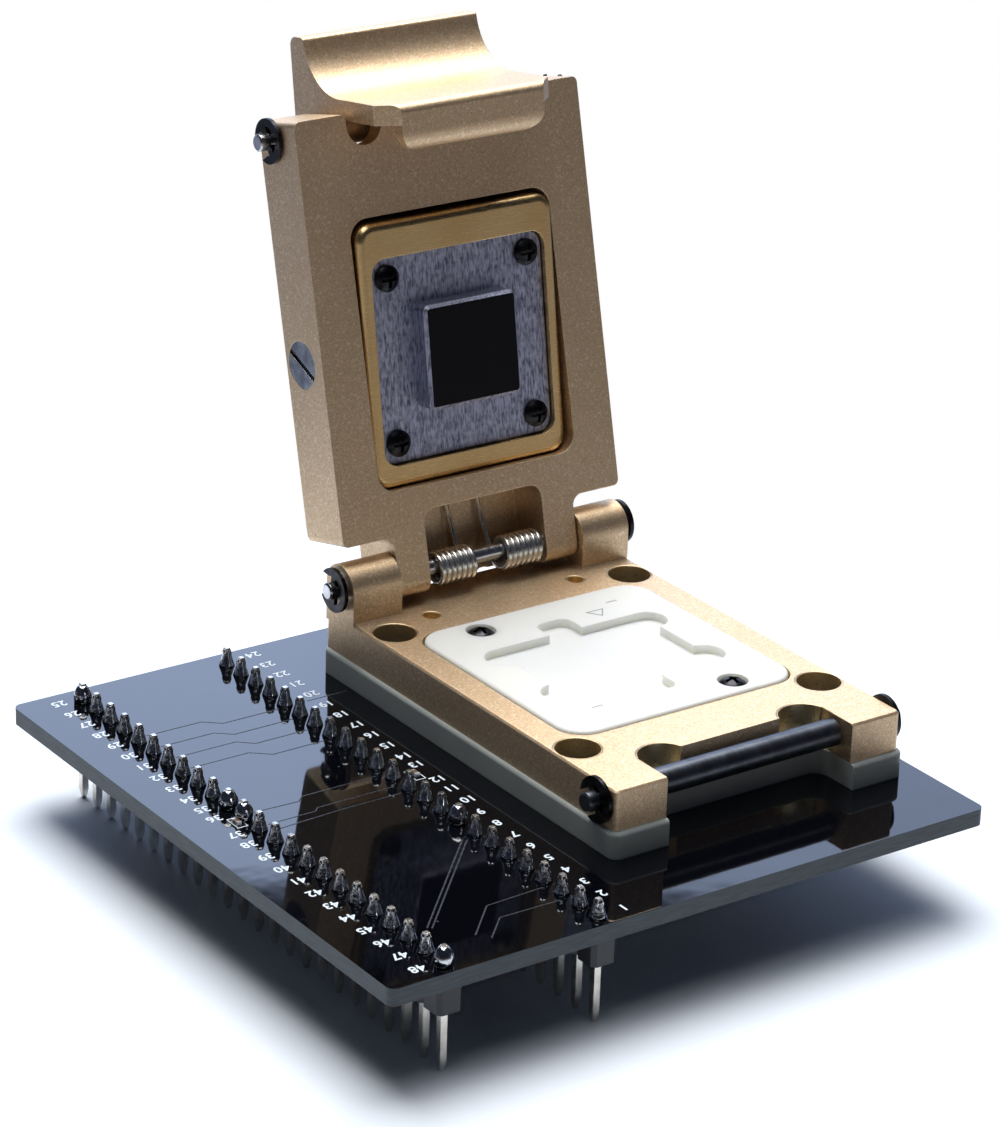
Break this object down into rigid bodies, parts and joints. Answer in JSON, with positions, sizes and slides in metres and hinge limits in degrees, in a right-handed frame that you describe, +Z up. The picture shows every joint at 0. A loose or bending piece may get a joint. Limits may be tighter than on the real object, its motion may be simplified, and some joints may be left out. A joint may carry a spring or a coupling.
{
  "type": "emmc socket adapter",
  "caption": "Open clamshell test socket with a latching metal lid on a glossy adapter board with two rows of pins below.",
  "frame": {"origin": "midway between the two pin rows and midway along them, on the plane of the strips' lower faces", "axes": "+Z up out of the board, +X from the pins towards the socket, +Y towards the lid's hinge"},
  "size_m": [0.0619, 0.0708, 0.0655],
  "materials": {
    "gold_anodised": "bead-blasted gold anodised",
    "blue_grey_metal": "brushed, dark boss face",
    "bright_steel": "bright turned",
    "roller_steel": "dark ground",
    "black_steel": "black oxide",
    "spring_steel": "bright drawn wire",
    "gold_plate": "gold plated",
    "solder": "shiny solder",
    "board": "glossy black solder mask",
    "black_plastic": "moulded",
    "cream_plastic": "machined, matt",
    "grey_slab": "grey-green, slightly translucent",
    "capacitor": "ceramic with tinned ends"
  },
  "bodies": {
    "board_and_base": {"adapter_board": "board", "chip_capacitors": "capacitor", "header_strip_left": "black_plastic", "header_strip_right": "black_plastic", "header_pins_left": "gold_plate", "header_pins_right": "gold_plate", "solder_joints_left": "solder", "solder_joints_right": "solder", "insulator_plate": "grey_slab", "contact_block": "black_plastic", "socket_base": "gold_anodised", "guide_screws": "black_steel", "guide_springs": "spring_steel", "mounting_screws": "black_steel", "mounting_nuts": "bright_steel", "hinge_pin": "bright_steel", "hinge_pin_clips": "black_steel", "roller_pin": "bright_steel", "roller_pin_clips": "black_steel", "torsion_spring_left": "spring_steel", "torsion_spring_right": "spring_steel"},
    "roller": {"latch_roller": "roller_steel"},
    "guide": {"guide_insert": "cream_plastic"},
    "lid": {"lid_frame": "gold_anodised", "latch_pin": "bright_steel", "latch_pin_clips": "black_steel", "pivot_screws": "black_steel", "latch_spring": "spring_steel"},
    "press": {"pressure_plate": "gold_anodised", "pusher_block": "blue_grey_metal", "pusher_screws": "black_steel"},
    "latch": {"latch_lever": "gold_anodised"}
  },
  "joints": [
    {"name": "lid_hinge", "type": "hinge", "parent": "board_and_base", "child": "lid", "pos_m": [0.03048, 0.02139, 0.01285], "axis": [1, 0, 0], "range_deg": [0, 103.7], "stiffness_Nm_per_rad": 0.003, "springref_deg": -45.84, "deforming": ["torsion_spring_left", "torsion_spring_right"]},
    {"name": "latch_pivot", "type": "hinge", "parent": "lid", "child": "latch", "pos_m": [0.03048, 0.03383, 0.05208], "axis": [-1, 0, 0], "range_deg": [0, 25], "stiffness_Nm_per_rad": 0.01, "springref_deg": -17.19, "deforming": ["latch_spring"]},
    {"name": "plate_tilt", "type": "hinge", "parent": "lid", "child": "press", "pos_m": [0.03048, 0.02829, 0.03237], "axis": [-1, 0, 0], "range_deg": [0, 8.8]},
    {"name": "roller_spin", "type": "hinge", "parent": "board_and_base", "child": "roller", "pos_m": [0.03048, -0.01896, 0.00845], "axis": [1, 0, 0], "continuous": true},
    {"name": "guide_float", "type": "slide", "parent": "board_and_base", "child": "guide", "axis": [0, 0, -1], "range_m": [0, 0.0004], "stiffness_N_per_m": 1500, "springref_m": -0.0003, "deforming": ["guide_springs"]}
  ]
}
